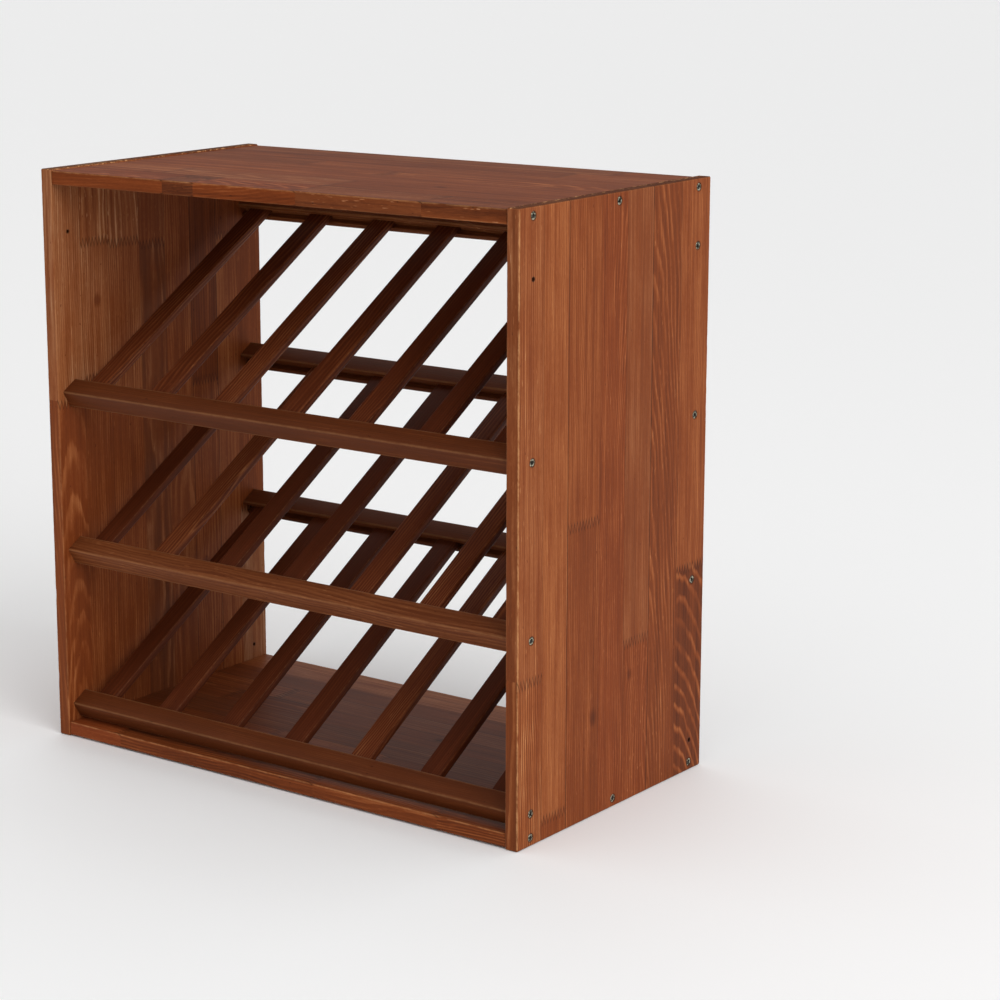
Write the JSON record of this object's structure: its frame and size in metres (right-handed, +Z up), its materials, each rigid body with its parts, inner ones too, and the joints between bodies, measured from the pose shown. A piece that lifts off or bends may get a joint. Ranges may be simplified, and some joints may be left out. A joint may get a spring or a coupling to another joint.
{
  "type": "wine rack",
  "caption": "Open stained-pine wine rack: two side panels, top and bottom boards, and sloping tiers of slats held in grooved rails.",
  "frame": {"origin": "on the floor under the middle of the rack", "axes": "+Z up, +X to the right seen from the front, -Y towards the front where bottles go in"},
  "size_m": [0.675, 0.364, 0.68],
  "materials": {
    "panel_wood": "stained pine, satin",
    "board_wood": "stained pine, satin",
    "rail_wood": "stained pine, satin",
    "slat_wood": "dark stained pine, satin",
    "screw_steel": "yellow zinc plated",
    "pin_steel": "bright wire"
  },
  "bodies": {
    "root": {"left_side_panel": "panel_wood", "right_side_panel": "panel_wood", "top_board": "board_wood", "bottom_board": "board_wood", "lower_front_rail": "rail_wood", "lower_rear_rail": "rail_wood", "lower_slat_1": "slat_wood", "lower_slat_2": "slat_wood", "lower_slat_3": "slat_wood", "lower_slat_4": "slat_wood", "lower_slat_5": "slat_wood", "lower_slat_6": "slat_wood", "lower_slat_7": "slat_wood", "lower_slat_pins": "pin_steel", "middle_front_rail": "rail_wood", "middle_rear_rail": "rail_wood", "middle_slat_1": "slat_wood", "middle_slat_2": "slat_wood", "middle_slat_3": "slat_wood", "middle_slat_4": "slat_wood", "middle_slat_5": "slat_wood", "middle_slat_6": "slat_wood", "middle_slat_7": "slat_wood", "middle_slat_pins": "pin_steel", "upper_front_rail": "rail_wood", "upper_rear_rail": "rail_wood", "upper_slat_1": "slat_wood", "upper_slat_2": "slat_wood", "upper_slat_3": "slat_wood", "upper_slat_4": "slat_wood", "upper_slat_5": "slat_wood", "upper_slat_6": "slat_wood", "upper_slat_7": "slat_wood", "upper_slat_pins": "pin_steel", "top_board_screws": "screw_steel", "bottom_board_screws": "screw_steel", "front_rail_screws": "screw_steel", "rear_rail_screws": "screw_steel"}
  },
  "joints": []
}
